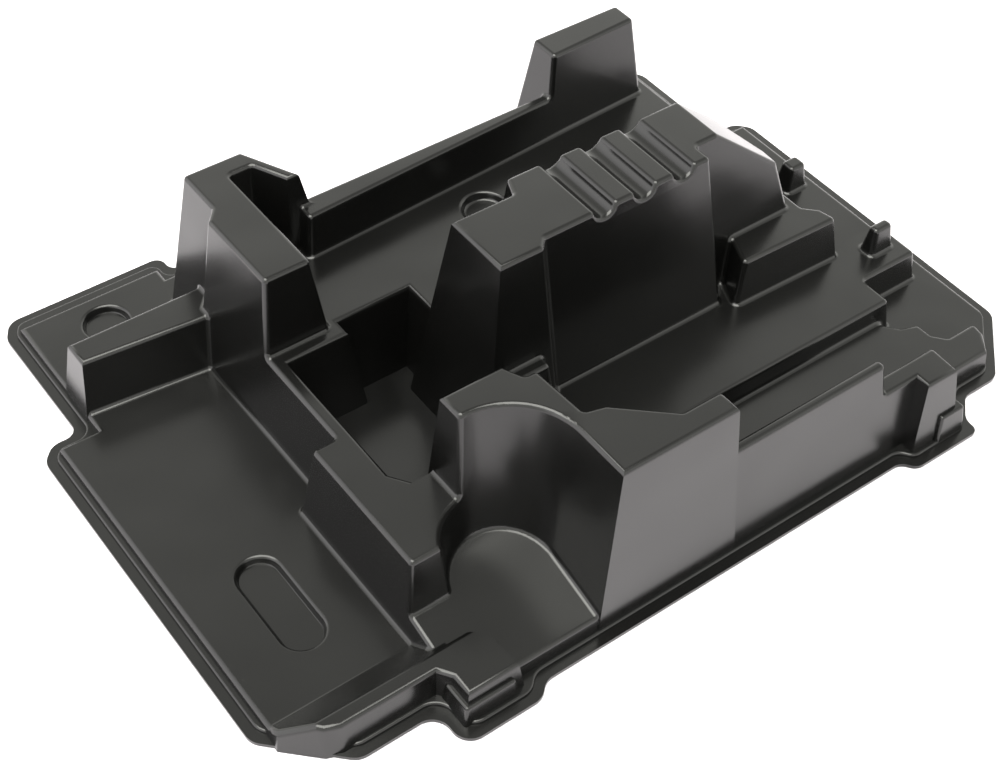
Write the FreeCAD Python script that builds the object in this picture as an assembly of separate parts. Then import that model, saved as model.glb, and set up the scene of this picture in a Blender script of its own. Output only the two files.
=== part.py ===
import FreeCAD, Part
import math
import os

# Sheet, wall slope and edge radii, in millimetres and degrees.
SHEET = 1.5
DRAFT = 7.0
TOWER_DRAFT = 4.0
EDGE_RADIUS = 2.0
FLANGE_RADIUS = 8.0
BEAD_RADIUS = 1.0
BEAD_INSET = 4.0
CAVITY_DEPTH = 1.0
DIMPLE_DEPTH = 3.4
DIMPLE_DRAFT = 20.0
DIMPLE_EDGE = 1.6
STEP_RADIUS = 1.2

# Heights of the level surfaces above the underside of the flange.
BEAD = 3.0
PLATEAU = 6.0
LEFT_TAB_STEP = 10.5
CHANNEL_FLOOR = 12.0
RIGHT_TAB_STEP = 15.0
RIM = 15.5
REAR_POST = 19.0
SLOPED_FLOOR_BACK = 17.0
SLOPED_FLOOR_FRONT = 9.5
STEP_FLOOR = 21.0
STEP_POST = 34.0
LEDGE = 31.5
RIGHT_TAB = 36.0
MIDDLE = 42.0
CORNER_SHELF = 46.0
FRONT_RIB = 52.0
BACK_WALL = 61.0
LEFT_TOWER = 77.0
FRONT_TOWER = 80.0
BACK_TOWER = 81.0
RIBBED_TOWER = 96.0
WELL_FLOOR = 2.0

# Outline of the flange, anticlockwise from the rear left tab.
FLANGE = [
    (-91.0, 128.5), (-91.0, 138.6), (-162.5, 138.6), (-167.5, 130.0), (-167.5, 66.5),
    (-179.0, 66.5), (-185.0, 60.0), (-185.0, -94.0), (-158.0, -121.3), (-125.7, -121.3),
    (-125.7, -138.0), (-92.0, -138.0), (-86.5, -132.6), (91.0, -132.6), (95.0, -138.5),
    (129.7, -138.5), (129.7, -131.5), (139.5, -122.0), (158.0, -122.0), (185.0, -95.0),
    (185.0, 60.0), (179.0, 66.5), (168.0, 66.5), (168.0, 121.5), (161.0, 128.5),
]

# Dimples: middle, radius and half the length of the straight stretch between their round ends.
TEXT_DIMPLE = (-147.0, -52.5, 9.0, 14.5)
LEDGE_DIMPLE = (-130.5, 111.5, 10.0, 0.0)
TROUGH_DIMPLE = (17.2, 48.0, 10.0, 0.0)

# Lines that more than one block shares.
PLATEAU_LEFT = -178.3
MIDDLE_LEFT = -114.0
MIDDLE_REAR = 84.5
LEFT_TOWER_FACE = -99.3
REAR_FACE = 7.5
TOWER_REAR = 98.5
RIB_FRONT = -120.3
RIB_REAR = -116.2
BACK_FACE_LEFT = (-59.8, 62.6)
BACK_FACE_RIGHT = (121.5, 72.0)

# Middles of the folds that lie too close together to be rounded.
CRISP_FOLDS = [
    (-107.3, -107.1, 13.7), (-100.0, -110.2, 13.0), (-99.7, -111.0, 15.5), (-97.0, -121.3, 15.5),
    (-87.8, -58.3, 42.0), (-67.3, 77.4, 42.0), (-62.3, 72.2, 59.5), (-58.6, 71.2, 51.5),
    (-54.3, 73.3, 69.0), (-25.7, -46.1, 21.0), (152.3, -38.8, 21.0), (171.0, -99.9, 6.0),
]

# Round bay at the front, and the grooves of the ribbed tower.
BAY_CENTRE = (-79.0, -98.5)
BAY_RADIUS = 20.0
BAY_TAPER = 6.15
GROOVE_RADIUS = 5.0
GROOVE_DEPTH = 4.5
GROOVE_FIRST = 16.5
GROOVE_PITCH = 19.5
GROOVES = 3
FLANK_LEAN = 17.9
REAR_FLANK_LEAN = 15.0


def vector(x, y, z):
    return FreeCAD.Vector(x, y, z)


def slant(height, draft=DRAFT):
    """How far a drafted wall leans over the given height."""
    return height * math.tan(math.radians(draft))


def on_back_face(x):
    """Point at x on the slanted back face, at the middle level."""
    (x0, y0), (x1, y1) = BACK_FACE_LEFT, BACK_FACE_RIGHT
    return (x, y0 + (x - x0) * (y1 - y0) / (x1 - x0))


def offset(points, distance):
    """Anticlockwise outline moved outwards by a distance."""
    moved = []
    for i, (x, y) in enumerate(points):
        (xa, ya), (xb, yb) = points[i - 1], points[(i + 1) % len(points)]
        before = math.hypot(x - xa, y - ya)
        after = math.hypot(xb - x, yb - y)
        nx, ny = (y - ya) / before, (xa - x) / before
        mx, my = (yb - y) / after, (x - xb) / after
        scale = distance / (1 + nx * mx + ny * my)
        moved.append((x + scale * (nx + mx), y + scale * (ny + my)))
    return moved


def outline_wire(points, z):
    corners = [vector(x, y, z) for x, y in points]
    return Part.makePolygon(corners + corners[:1])


def sides_moved(points, distances):
    """Anticlockwise outline whose side after each point moves out by its own distance."""
    moved = []
    for i, (x, y) in enumerate(points):
        (xa, ya), (xb, yb) = points[i - 1], points[(i + 1) % len(points)]
        before = math.hypot(x - xa, y - ya)
        after = math.hypot(xb - x, yb - y)
        nx, ny = (y - ya) / before, (xa - x) / before
        mx, my = (yb - y) / after, (x - xb) / after
        first, second = distances[i - 1], distances[i]
        turn = nx * my - ny * mx
        moved.append((x + (first * my - second * ny) / turn, y + (second * nx - first * mx) / turn))
    return moved


def frustum(low, bottom, high, roof):
    """Solid with flat walls between two outlines whose sides are parallel in pairs."""
    faces = [Part.Face(outline_wire(high, roof)), Part.Face(outline_wire(low[::-1], bottom))]
    for i in range(len(low)):
        corners = [
            vector(*low[i - 1], bottom), vector(*low[i], bottom),
            vector(*high[i], roof), vector(*high[i - 1], roof),
        ]
        faces.append(Part.Face(Part.makePolygon(corners + corners[:1])))
    return Part.makeSolid(Part.makeShell(faces))


def block(points, top, skin, draft=DRAFT, at=None, sink=0.0):
    """Drafted block; its outline is given at the height `at`, or at its top.

    A skin above zero makes the hollow under the sheet: the same walls moved in
    by that much, and, in a narrow wall, a top that stays `sink` lower.
    """
    at = top if at is None else at
    inset = skin / math.cos(math.radians(draft))
    bottom = -CAVITY_DEPTH if skin else 0.0
    roof = top - skin - (sink if skin else 0.0)
    low = offset(points, slant(at - bottom, draft) - inset)
    high = offset(points, slant(at - roof, draft) - inset)
    return frustum(low, bottom, high, roof)


def hollow(points, mouth, floor, skin, height=60.0):
    """Tool for a pocket that narrows from its mouth down to its floor."""
    inset = skin / math.cos(math.radians(DRAFT))
    low = offset(points, inset - slant(mouth - floor + skin))
    high = offset(points, inset + slant(height))
    return frustum(low, floor - skin, high, mouth + height)


def above_slope_y(start, end, x_range, skin):
    """Tool above a plane from start to end, each a (y, z) pair."""
    (y0, z0), (y1, z1) = start, end
    profile = [(y0, z0 - skin), (y1, z1 - skin), (y1, z1 + 90), (y0, z0 + 90)]
    corners = [vector(x_range[0], y, z) for y, z in profile]
    face = Part.Face(Part.makePolygon(corners + corners[:1]))
    return face.extrude(vector(x_range[1] - x_range[0], 0, 0))


def above_slope_x(start, end, y_range, skin):
    """Tool above a plane from start to end, each an (x, z) pair."""
    (x0, z0), (x1, z1) = start, end
    profile = [(x0, z0 - skin), (x1, z1 - skin), (x1, z1 + 90), (x0, z0 + 90)]
    corners = [vector(x, y_range[0], z) for x, z in profile]
    face = Part.Face(Part.makePolygon(corners + corners[:1]))
    return face.extrude(vector(0, y_range[1] - y_range[0], 0))


# Base and rear half.


def plateau(skin):
    return block([
        (PLATEAU_LEFT, -98), (-165, -108), (150, -112), (160, -110.9), (178.3, -92.6),
        (178.3, 59.5), (161.5, 59.5), (161.5, 121), (-97.5, 121), (-97.5, 128.3),
        (-161.3, 128.3), (-161.3, 59.5),
        (PLATEAU_LEFT, 59.5),
    ], PLATEAU, skin)


def left_ledge(skin):
    return block([(-158.3, 72), (-95, 66), (-95, 84), (-158.3, 84)], LEDGE, skin)


def left_tower(skin):
    return block([
        (LEFT_TOWER_FACE, 28.6), (-79, 28.6), (-79, TOWER_REAR), (-94, TOWER_REAR), (-94, 75.5),
        (LEFT_TOWER_FACE, 69.5),
    ], LEFT_TOWER, skin)


def brace(skin):
    """Thin wall that leads from the rear of the left tower to the back wall."""
    whole = block([(-84, 74.3), (-55.9, 74.3), (-68, TOWER_REAR), (-84, TOWER_REAR)], LEFT_TOWER, skin)
    pocket = [(-79, 60), (-53.85, 60), (-68.35, 89), (-79, 89)]
    return whole.cut(hollow(pocket, LEFT_TOWER, MIDDLE, skin))


def middle_level(skin):
    strip = LEFT_TOWER_FACE - slant(LEFT_TOWER - MIDDLE)
    return block([
        (MIDDLE_LEFT, -88.5), (-60, -88.5), (-60, -5), (127.5, -5), (127.5, MIDDLE_REAR),
        (-92, MIDDLE_REAR), (-92, 34), (strip, 34), (strip, -24.8), (MIDDLE_LEFT, -24.8),
    ], MIDDLE, skin)


def back_wall(skin):
    points = [on_back_face(-59.8), on_back_face(90), (90, 78.5), (-59.8, 78.5)]
    return block(points, BACK_WALL, skin, at=MIDDLE, sink=10)


def back_tower(skin):
    points = [on_back_face(66.5), on_back_face(121.5), (121.5, 93.5), (66.5, 93.5)]
    return block(points, BACK_TOWER, skin, at=MIDDLE)


def well(skin):
    """Deep pocket between the left tower and the ribbed tower."""
    return hollow([
        (-97.8, 18.5), (-97.8, -50), (-92, -58.3), (-78, -58.3), (-78, -65), (-30, -65),
        (-30, 0), (-36, 0), (-36, 26.5), (-70, 26.5), (-70, 18.5),
    ], MIDDLE, WELL_FLOOR, skin)


def rear_half(skin):
    parts = [left_ledge, left_tower, brace, middle_level, back_wall, back_tower]
    return plateau(skin).fuse([part(skin) for part in parts]).cut(well(skin))


# Right half.


def step_floor(skin):
    return block([
        (-60, -75.7), (136.5, -75.7), (136.5, -60.5), (167.4, -60.5), (167.4, -38.8),
        (118, -38.8), (118, -20), (-36, -20), (-36, -58), (-60, -58),
    ], STEP_FLOOR, skin)


def channel_floor(skin):
    return block([
        (-50, -115.2), (156.5, -115.2), (163, -107), (164.3, -100.4), (149, -100.4),
        (144.4, -95), (144.2, -87.5), (136.5, -84.5), (120, -65), (-50, -65),
    ], CHANNEL_FLOOR, skin)


def shelf(skin):
    return block([
        (84, -39.5), (135, -40.8), (133, -32.5), (127.5, -27), (127.5, 0), (92, 0), (92, -20.5),
    ], MIDDLE, skin)


def corner_shelf(skin):
    return block([(-36, -43), (-18.5, -43), (-18.5, -24), (-36, -24)], CORNER_SHELF, skin)


def rear_post(skin):
    return block([(163, 11.5), (171.5, 11.5), (171.5, 18.5), (163, 18.5)], REAR_POST, skin)


def step_post(skin):
    return block([(150.5, -51.2), (160, -51.2), (160, -46.5), (150.5, -46.5)], STEP_POST, skin, sink=6)


def groove(x, skin):
    """Rounded groove that runs right through the top of the ribbed tower."""
    height = RIBBED_TOWER - GROOVE_DEPTH + GROOVE_RADIUS
    radius = GROOVE_RADIUS + skin
    tool = Part.makeCylinder(radius, 80, vector(x, -55, height), vector(0, 1, 0))
    return tool.fuse(Part.makeBox(2 * radius, 80, 20, vector(x - radius, -55, height)))


def ribbed_tower(skin):
    return block([
        (-35.3, -31.2), (-16, -31.2), (-12, -27), (68.5, -27), (68.5, REAR_FACE),
        (-3.5, REAR_FACE), (-7, -1), (-35.3, -1),
    ], RIBBED_TOWER, skin)


def wedge(skin):
    """Right flank of the ribbed tower, whose top falls to the right."""
    lean = slant(RIBBED_TOWER - MIDDLE)
    foot = [(60, -18 - lean), (122, -18 - lean), (124, -12), (110, REAR_FACE + lean),
            (60, REAR_FACE + lean)]
    head = sides_moved(foot, [-lean, -FLANK_LEAN, -REAR_FLANK_LEAN, -lean, 0])
    inset = skin / math.cos(math.radians(DRAFT))
    foot, head = offset(foot, -inset), offset(head, -inset)
    bottom = -CAVITY_DEPTH if skin else 0.0
    share = (bottom - MIDDLE) / (RIBBED_TOWER - MIDDLE)
    base = [(a + (c - a) * share, b + (d - b) * share) for (a, b), (c, d) in zip(foot, head)]
    solid = frustum(base, bottom, head, RIBBED_TOWER)
    solid = solid.cut(above_slope_x((80, RIBBED_TOWER), (130, RIBBED_TOWER - 41.2), (-60, 60), skin))
    return solid.cut(Part.makeBox(60, 120, 20, vector(40, -60, RIBBED_TOWER - skin)))


def right_half(skin):
    tower = ribbed_tower(skin).fuse(wedge(skin))
    for i in range(GROOVES):
        tower = tower.cut(groove(GROOVE_FIRST + i * GROOVE_PITCH, skin))
    parts = [step_floor, channel_floor, shelf, corner_shelf, rear_post, step_post]
    return tower.fuse([part(skin) for part in parts])


# Front.


def front_rib(skin):
    points = [(-8, RIB_FRONT), (82, RIB_FRONT), (82, RIB_REAR), (-8, RIB_REAR)]
    return block(points, FRONT_RIB, skin, sink=12)


def right_tab(skin):
    lean = slant(FRONT_RIB - RIGHT_TAB)
    return block([
        (75, RIB_FRONT - lean), (101.5, RIB_FRONT - lean), (101.5, -128.5), (117.3, -128.5),
        (118, RIB_REAR + lean), (75, RIB_REAR + lean),
    ], RIGHT_TAB, skin)


def front_tower(skin):
    return block([
        (-81, -122.2), (1.5, -122.2), (1.5, -112), (-16, -112), (-36, -94.2), (-44, -92),
        (-45.5, -67), (-50.5, -67), (-54.5, -58.5), (-81, -58.5),
    ], FRONT_TOWER, skin, TOWER_DRAFT)


def left_rim(skin):
    """Raised front rim with the left tab, reached by a ramp from the plateau."""
    left = PLATEAU_LEFT + slant(RIM - PLATEAU)
    solid = block([
        (left, -92), (left, -101), (-166, -112.1), (-160.5, -114.4), (-121.5, -114.4),
        (-118, -120), (-118, -129), (-96.5, -129), (-97.5, -113.5), (-103, -107.3),
        (-112, -107.3), (-112, -92),
    ], RIM, skin)
    return solid.cut(above_slope_y((-80, PLATEAU - 11), (-108.5, RIM), (-190, -100), skin))


def round_bay(skin):
    """Tool for the upright round bay and its straight way out to the front."""
    x, y = BAY_CENTRE
    bottom, top = SHEET - skin, FRONT_TOWER + 20
    low = BAY_RADIUS + skin
    high = low + slant(top - bottom, BAY_TAPER)
    cone = Part.makeCone(low, high, top - bottom, vector(x, y, bottom))
    wires = []
    for radius, z in ((low, bottom), (high, top)):
        points = [(x - 13, -145), (x + radius, -145), (x + radius, y), (x - 13, y)]
        wires.append(outline_wire(points, z))
    return cone.fuse(Part.makeLoft(wires, True, True))


def sloped_floor(skin):
    """Floor of the bay, which falls to the front."""
    top = SLOPED_FLOOR_BACK + 5
    left = MIDDLE_LEFT - slant(MIDDLE - top)
    points = [(left, -124.8), (-50, -124.8), (-50, -72), (left, -72)]
    fall = (SLOPED_FLOOR_BACK - SLOPED_FLOOR_FRONT) / 34.0
    start = (-70, SLOPED_FLOOR_BACK + 22 * fall)
    end = (-136, SLOPED_FLOOR_BACK - 44 * fall)
    return block(points, top, skin).cut(above_slope_y(start, end, (-140, -30), skin))


def body(skin):
    """Whole raised form; with a skin, the hollow under its sheet."""
    solid = rear_half(skin)
    solid = solid.fuse([right_half(skin), front_rib(skin), right_tab(skin), front_tower(skin),
                        left_rim(skin)])
    solid = solid.cut(round_bay(skin)).fuse(sloped_floor(skin))
    return solid.removeSplitter()


def rounded_outline(points, radius, z):
    """Outline whose corners are arcs, smaller where two corners lie close together."""
    arcs = []
    for i, (x, y) in enumerate(points):
        corner = vector(x, y, z)
        back = vector(*points[i - 1], z) - corner
        ahead = vector(*points[(i + 1) % len(points)], z) - corner
        half_turn = (math.pi - back.getAngle(ahead)) / 2
        reach = min(radius * math.tan(half_turn), 0.45 * back.Length, 0.45 * ahead.Length)
        bow = reach / math.tan(half_turn)
        back.normalize()
        ahead.normalize()
        inward = (back + ahead).normalize()
        middle = corner + inward * (bow / math.cos(half_turn) - bow)
        arcs.append(Part.Arc(corner + back * reach, middle, corner + ahead * reach).toShape())
    sides = []
    for i, arc in enumerate(arcs):
        sides.append(Part.makeLine(arcs[i - 1].Vertexes[-1].Point, arc.Vertexes[0].Point))
        sides.append(arc)
    return Part.Wire(sides)


def bead(skin):
    """Low step inside the edge of the flange; with a skin, its hollow."""
    inset = BEAD_INSET + skin
    bottom = -CAVITY_DEPTH if skin else 0.0
    face = Part.Face(rounded_outline(offset(FLANGE, -inset), FLANGE_RADIUS, bottom))
    solid = face.extrude(vector(0, 0, BEAD - skin - bottom))
    if skin:
        return solid
    top = [edge for edge in solid.Edges if edge.BoundBox.ZMin > BEAD / 2]
    return solid.makeFillet(BEAD_RADIUS, top)


def flange():
    """Flat flange with a low bead inside its edge."""
    plate = Part.Face(rounded_outline(FLANGE, FLANGE_RADIUS, 0)).extrude(vector(0, 0, SHEET))
    return plate.fuse(bead(0))


def rounded(solid, radius):
    """Every edge of the raised form rounded, but for its foot and the crisp folds."""
    edges = []
    for edge in solid.Edges:
        low = min(corner.Z for corner in edge.Vertexes)
        middle = edge.CenterOfMass
        crisp = any(middle.distanceToPoint(vector(*place)) < 1 for place in CRISP_FOLDS)
        if low > BEAD and edge.Length > 2 * radius and not crisp:
            edges.append(edge)
    return solid.makeFillet(radius, edges)


def dimple_outline(spot, growth, z):
    """Round or long outline of a dimple, wider than its radius by the growth."""
    x, y, radius, straight = spot
    radius = radius + growth
    if not straight:
        return Part.Wire(Part.makeCircle(radius, vector(x, y, z)))
    back, front = y + straight, y - straight
    arcs = [
        Part.Arc(vector(x + radius, back, z), vector(x, back + radius, z), vector(x - radius, back, z)),
        Part.Arc(vector(x - radius, front, z), vector(x, front - radius, z), vector(x + radius, front, z)),
    ]
    sides = [
        Part.LineSegment(vector(x - radius, back, z), vector(x - radius, front, z)),
        Part.LineSegment(vector(x + radius, front, z), vector(x + radius, back, z)),
    ]
    return Part.Wire([arcs[0].toShape(), sides[0].toShape(), arcs[1].toShape(), sides[1].toShape()])


def dimpled(solid, spot, level, skin):
    """Solid with one dimple pressed into a level face; under the sheet it stays crisp."""
    floor = level - DIMPLE_DEPTH
    inset = skin / math.cos(math.radians(DIMPLE_DRAFT))
    low = dimple_outline(spot, inset - slant(DIMPLE_DEPTH + skin, DIMPLE_DRAFT), floor - skin)
    high = dimple_outline(spot, inset, level)
    pressed = solid.cut(Part.makeLoft([low, high], True, True))
    if skin:
        return pressed
    x, y, radius, straight = spot
    reach = radius + 2
    zone = FreeCAD.BoundBox(x - reach, y - straight - reach, floor - 1, x + reach,
                            y + straight + reach, level + 1)
    rims = [edge for edge in pressed.Edges
            if zone.isInside(edge.BoundBox) and edge.BoundBox.ZLength < 1]
    return pressed.makeFillet(DIMPLE_EDGE, rims)


def dimples(solid, skin):
    solid = dimpled(solid, TEXT_DIMPLE, PLATEAU, skin)
    solid = dimpled(solid, LEDGE_DIMPLE, PLATEAU, skin)
    return dimpled(solid, TROUGH_DIMPLE, MIDDLE, skin)


def tab_steps(skin):
    """Low steps round the fronts of the two tabs."""
    left = block([(-120.5, -118), (-120.5, -131.3), (-99, -131.3), (-99, -118)], LEFT_TAB_STEP, skin)
    right = block([(111, -132.8), (123.5, -132.8), (123.5, -114), (111, -114)], RIGHT_TAB_STEP, skin)
    if skin:
        return [left, right]
    return [part.makeFillet(STEP_RADIUS, [edge for edge in part.Edges if edge.BoundBox.ZMax > BEAD])
            for part in (left, right)]


def tray():
    outside = dimples(rounded(body(0), EDGE_RADIUS), 0).fuse([flange()] + tab_steps(0))
    inside = dimples(body(SHEET), SHEET).fuse([bead(SHEET)] + tab_steps(SHEET))
    return outside.cut(inside).removeSplitter()


os.makedirs("parts", exist_ok=True)
tray().exportStep("parts/tray.step")
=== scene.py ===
import math

import bmesh
import bpy
from mathutils import Matrix, Vector


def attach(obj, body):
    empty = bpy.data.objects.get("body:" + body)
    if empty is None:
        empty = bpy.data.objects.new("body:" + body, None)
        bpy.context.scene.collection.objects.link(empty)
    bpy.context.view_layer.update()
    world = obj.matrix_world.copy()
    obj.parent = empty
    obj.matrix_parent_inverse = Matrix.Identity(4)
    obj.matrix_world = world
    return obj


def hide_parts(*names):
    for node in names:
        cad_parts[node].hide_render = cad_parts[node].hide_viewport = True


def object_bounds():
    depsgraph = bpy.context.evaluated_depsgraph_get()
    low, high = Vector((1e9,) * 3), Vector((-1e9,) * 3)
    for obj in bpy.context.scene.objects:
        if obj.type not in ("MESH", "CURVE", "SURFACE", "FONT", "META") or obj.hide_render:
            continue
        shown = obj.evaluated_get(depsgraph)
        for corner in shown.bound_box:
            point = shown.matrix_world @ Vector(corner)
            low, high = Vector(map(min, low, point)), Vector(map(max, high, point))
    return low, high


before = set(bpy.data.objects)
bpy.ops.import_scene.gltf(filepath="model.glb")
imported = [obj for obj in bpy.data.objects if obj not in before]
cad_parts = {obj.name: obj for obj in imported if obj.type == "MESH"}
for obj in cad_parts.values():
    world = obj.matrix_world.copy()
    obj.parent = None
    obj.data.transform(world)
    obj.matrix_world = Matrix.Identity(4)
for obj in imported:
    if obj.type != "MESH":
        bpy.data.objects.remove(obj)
cad_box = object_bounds()

# Skin of the sheet: distances in metres, angle in degrees.
MERGE_DISTANCE = 0.00001
SMOOTH_ANGLE = 38.0

# Satin black: clean and dusty colour, and roughness.
SHEET_COLOUR = (0.002, 0.002, 0.0019, 1.0)
SHEET_DUST = (0.03, 0.03, 0.028, 1.0)
SHEET_ROUGHNESS = 0.22
ROUGHNESS_RANGE = 0.14
ROUGHNESS_LEAST = 0.05

# Noises of the sheet: scale and detail.
WAVES = (22.0, 1.0)
GRAIN = (2600.0, 2.0)
CLOUD = (14.0, 4.0)
SPECKS = (900.0, 1.0)

# Height of waves and grain in metres, and the dust of clouds and specks.
WAVE_HEIGHT = 0.0009
GRAIN_HEIGHT = 0.000004
CLOUD_DUST = 0.06
SPECK_START = 0.74
SPECK_DUST = 3.0

# Pale floor, just below the sheet.
FLOOR_COLOUR = (0.82, 0.79, 0.84, 1.0)
FLOOR_ROUGHNESS = 0.7
FLOOR_SIZE = 6.0
FLOOR_DROP = 0.0004

# Photograph's camera: place, directions and lens.
CAMERA_PLACE = (-0.3244, -0.3992, 0.5305)
CAMERA_RIGHT = (0.8038, -0.5941, 0.0311)
CAMERA_FORWARD = (0.4268, 0.5395, -0.7259)
CAMERA_LENS = 63.87
CAMERA_SENSOR = 36.0
CAMERA_NEAR = 0.01

# Softboxes that face the middle of the part: name, place, width and height, power, colour.
SOFTBOXES = [
    ("overhead", (-0.4, -0.2, 1.45), (1.5, 1.1), 44.0, (1.0, 1.0, 0.93)),
    ("left", (-1.3, 0.45, 0.7), (2.2, 2.2), 18.0, (0.97, 0.94, 1.0)),
]

# Studio sky: its strength falls from the horizon up, between a most and a least.
SKY_COLOUR = (1.0, 1.0, 0.94, 1.0)
SKY_HORIZON = 3.4
SKY_FALL = 3.0
SKY_LEAST = 0.5
SKY_MOST = 1.9
WHITE = (1.0, 1.0, 1.0, 1.0)


class Socket:
    """A node socket whose arithmetic adds Math nodes."""

    def __init__(self, tree, socket):
        self.tree = tree
        self.socket = socket

    def math(self, operation, *values):
        return self.tree.node("ShaderNodeMath", {"operation": operation}, self, *values)

    def __add__(self, other):
        return self.math("ADD", other)

    def __mul__(self, other):
        return self.math("MULTIPLY", other)

    def __sub__(self, other):
        return self.math("SUBTRACT", other)

    def __rsub__(self, other):
        return self * -1 + other

    def clamp(self, low, high):
        return self.math("MAXIMUM", low).math("MINIMUM", high)


class Tree:
    """Node tree of a material or of the world."""

    def __init__(self, owner):
        owner.use_nodes = True
        self.nodes = owner.node_tree.nodes
        self.links = owner.node_tree.links

    def node(self, kind, settings=None, *values, output=0, **named):
        """One node; values feed its inputs in order, and named values by name."""
        made = self.nodes.new(kind)
        for key, value in (settings or {}).items():
            setattr(made, key, value)
        for place, value in list(enumerate(values)) + list(named.items()):
            self.feed(made.inputs[place], value)
        return Socket(self, made.outputs[output])

    def feed(self, target, value):
        if isinstance(value, Socket):
            self.links.new(value.socket, target)
        else:
            target.default_value = value

    def surface(self, **named):
        shader = self.nodes["Principled BSDF"]
        for name, value in named.items():
            self.feed(shader.inputs[name.replace("_", " ")], value)

    def place(self, space="Object"):
        return self.node("ShaderNodeTexCoord", None, output=space)

    def noise(self, scale, detail):
        return self.node("ShaderNodeTexNoise", None, Vector=self.place(), Scale=scale, Detail=detail)

    def mix(self, factor, first, second):
        """Mix of two colours, whose sockets on the node are inputs 6 and 7 and output 2."""
        mixed = self.node("ShaderNodeMix", {"data_type": "RGBA"}, factor, output=2)
        inputs = mixed.socket.node.inputs
        self.feed(inputs[6], first)
        self.feed(inputs[7], second)
        return mixed


def satin_sheet():
    """Black vacuum formed sheet: satin, faintly wavy, with a little dust."""
    material = bpy.data.materials.new("satin_black_sheet")
    tree = Tree(material)
    waves = tree.noise(*WAVES)
    grain = tree.noise(*GRAIN)
    cloud = tree.noise(*CLOUD)
    specks = (tree.noise(*SPECKS) - SPECK_START).clamp(0.0, 1.0) * SPECK_DUST
    dust = (specks + cloud * CLOUD_DUST).clamp(0.0, 1.0)
    roughness = cloud * ROUGHNESS_RANGE + (SHEET_ROUGHNESS - ROUGHNESS_RANGE / 2)
    height = waves * WAVE_HEIGHT + grain * GRAIN_HEIGHT
    tree.surface(
        Base_Color=tree.mix(dust, SHEET_COLOUR, SHEET_DUST),
        Roughness=roughness.clamp(ROUGHNESS_LEAST, 1.0),
        Normal=tree.node("ShaderNodeBump", None, Height=height, Distance=1.0, Strength=1.0),
    )
    return material


def pale_floor():
    """Matte floor that looks white to the camera and keeps the shadow."""
    material = bpy.data.materials.new("pale_floor")
    Tree(material).surface(Base_Color=FLOOR_COLOUR, Roughness=FLOOR_ROUGHNESS)
    return material


def formed_tray():
    """The formed sheet: one merged smooth skin over the frame's solid."""
    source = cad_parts["tray"]
    mesh = source.data.copy()
    mesh.transform(source.matrix_world)
    skin = bmesh.new()
    skin.from_mesh(mesh)
    bmesh.ops.remove_doubles(skin, verts=skin.verts, dist=MERGE_DISTANCE)
    for edge in skin.edges:
        edge.smooth = edge.calc_face_angle(0.0) < math.radians(SMOOTH_ANGLE)
    for face in skin.faces:
        face.smooth = True
    skin.to_mesh(mesh)
    skin.free()
    mesh.materials.clear()
    mesh.materials.append(satin_sheet())
    tray = bpy.data.objects.new("formed_tray", mesh)
    bpy.context.collection.objects.link(tray)
    tray.modifiers.new("even_normals", "WEIGHTED_NORMAL").keep_sharp = True
    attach(tray, "root")
    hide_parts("tray")


def floor():
    mesh = bpy.data.meshes.new("floor")
    plane = bmesh.new()
    bmesh.ops.create_grid(plane, x_segments=1, y_segments=1, size=FLOOR_SIZE / 2)
    bmesh.ops.translate(plane, verts=plane.verts, vec=(0, 0, cad_box[0][2] - FLOOR_DROP))
    plane.to_mesh(mesh)
    plane.free()
    mesh.materials.append(pale_floor())
    surface = bpy.data.objects.new("floor", mesh)
    bpy.context.collection.objects.link(surface)


def camera():
    right = Vector(CAMERA_RIGHT).normalized()
    back = -Vector(CAMERA_FORWARD).normalized()
    turn = Matrix((right, back.cross(right), back)).transposed().to_4x4()
    data = bpy.data.cameras.new("photo_camera")
    data.lens = CAMERA_LENS
    data.sensor_width = CAMERA_SENSOR
    data.clip_start = CAMERA_NEAR
    seen = bpy.data.objects.new("photo_camera", data)
    seen.matrix_world = Matrix.Translation(CAMERA_PLACE) @ turn
    bpy.context.collection.objects.link(seen)
    bpy.context.scene.camera = seen


def softbox(name, place, size, power, colour):
    data = bpy.data.lights.new(name, "AREA")
    data.shape = "RECTANGLE"
    data.size, data.size_y = size
    data.energy = power
    data.color = colour
    lamp = bpy.data.objects.new(name, data)
    lamp.location = place
    lamp.rotation_euler = (-Vector(place)).to_track_quat("-Z", "Y").to_euler()
    bpy.context.collection.objects.link(lamp)


def sky():
    """World that lights the part from the horizon up and looks white to the camera."""
    world = bpy.data.worlds.new("studio")
    tree = Tree(world)
    height = tree.node("ShaderNodeSeparateXYZ", None, tree.place("Generated"), output=2)
    strength = (SKY_HORIZON - height * SKY_FALL).clamp(SKY_LEAST, SKY_MOST)
    ambient = tree.node("ShaderNodeBackground", None, Color=SKY_COLOUR, Strength=strength)
    white = tree.node("ShaderNodeBackground", None, Color=WHITE)
    seen = tree.node("ShaderNodeLightPath", None, output="Is Camera Ray")
    mixed = tree.node("ShaderNodeMixShader", None, seen, ambient, white)
    tree.feed(tree.nodes["World Output"].inputs["Surface"], mixed)
    bpy.context.scene.world = world
    bpy.context.scene.view_settings.view_transform = "Standard"


formed_tray()
floor()
camera()
for box in SOFTBOXES:
    softbox(*box)
sky()
